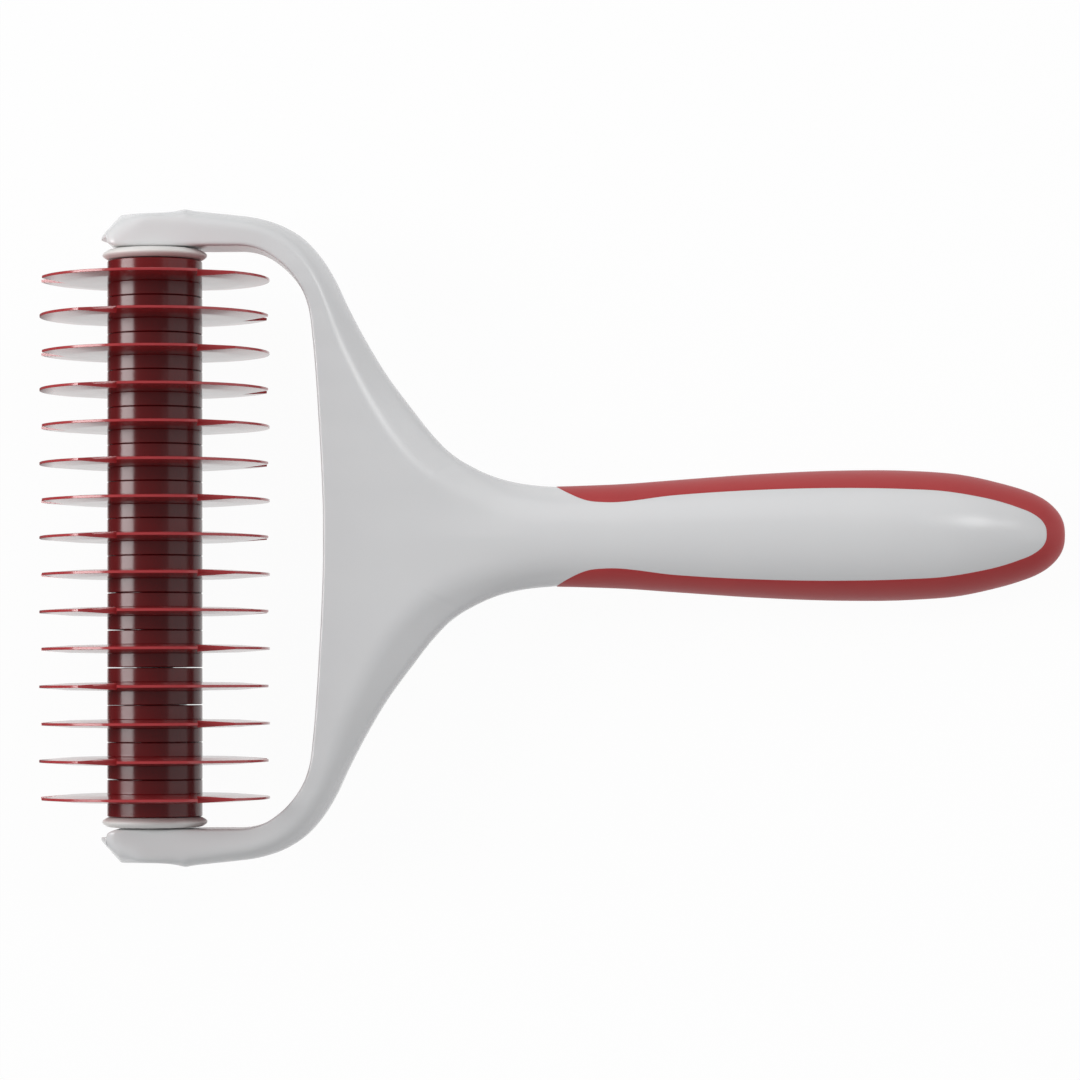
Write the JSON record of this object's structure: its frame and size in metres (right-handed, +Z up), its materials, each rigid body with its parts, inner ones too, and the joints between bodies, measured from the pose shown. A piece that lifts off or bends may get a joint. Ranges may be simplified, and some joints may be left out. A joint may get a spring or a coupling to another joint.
{
  "type": "lattice roller cutter",
  "caption": "Hand roller that cuts a lattice into rolled pastry: a white fork with a soft-sided handle carries a free-turning drum of notched red blade wheels.",
  "frame": {"origin": "under the middle of the object, on the plane that the lowest blade edges touch", "axes": "+X from the drum to the handle's end, +Y along the drum's axis, +Z up, square to the fork"},
  "size_m": [0.2, 0.1282, 0.0448],
  "materials": {
    "white_body": "smooth moulded gloss",
    "red_grip": "soft-touch satin",
    "white_trim": "smooth moulded gloss",
    "red_blade": "polished moulded gloss"
  },
  "bodies": {
    "frame": {"fork_handle": "white_body", "grip_band": "red_grip"},
    "drum": {"drum_axle": "white_trim", "left_end_cap": "white_trim", "right_end_cap": "white_trim", "blade_01": "red_blade", "blade_02": "red_blade", "blade_03": "red_blade", "blade_04": "red_blade", "blade_05": "red_blade", "blade_06": "red_blade", "blade_07": "red_blade", "blade_08": "red_blade", "blade_09": "red_blade", "blade_10": "red_blade", "blade_11": "red_blade", "blade_12": "red_blade", "blade_13": "red_blade", "blade_14": "red_blade", "blade_15": "red_blade"}
  },
  "joints": [
    {"name": "drum_spin", "type": "hinge", "parent": "frame", "child": "drum", "pos_m": [-0.0776, 0, 0.0224], "axis": [0, 1, 0], "continuous": true}
  ]
}
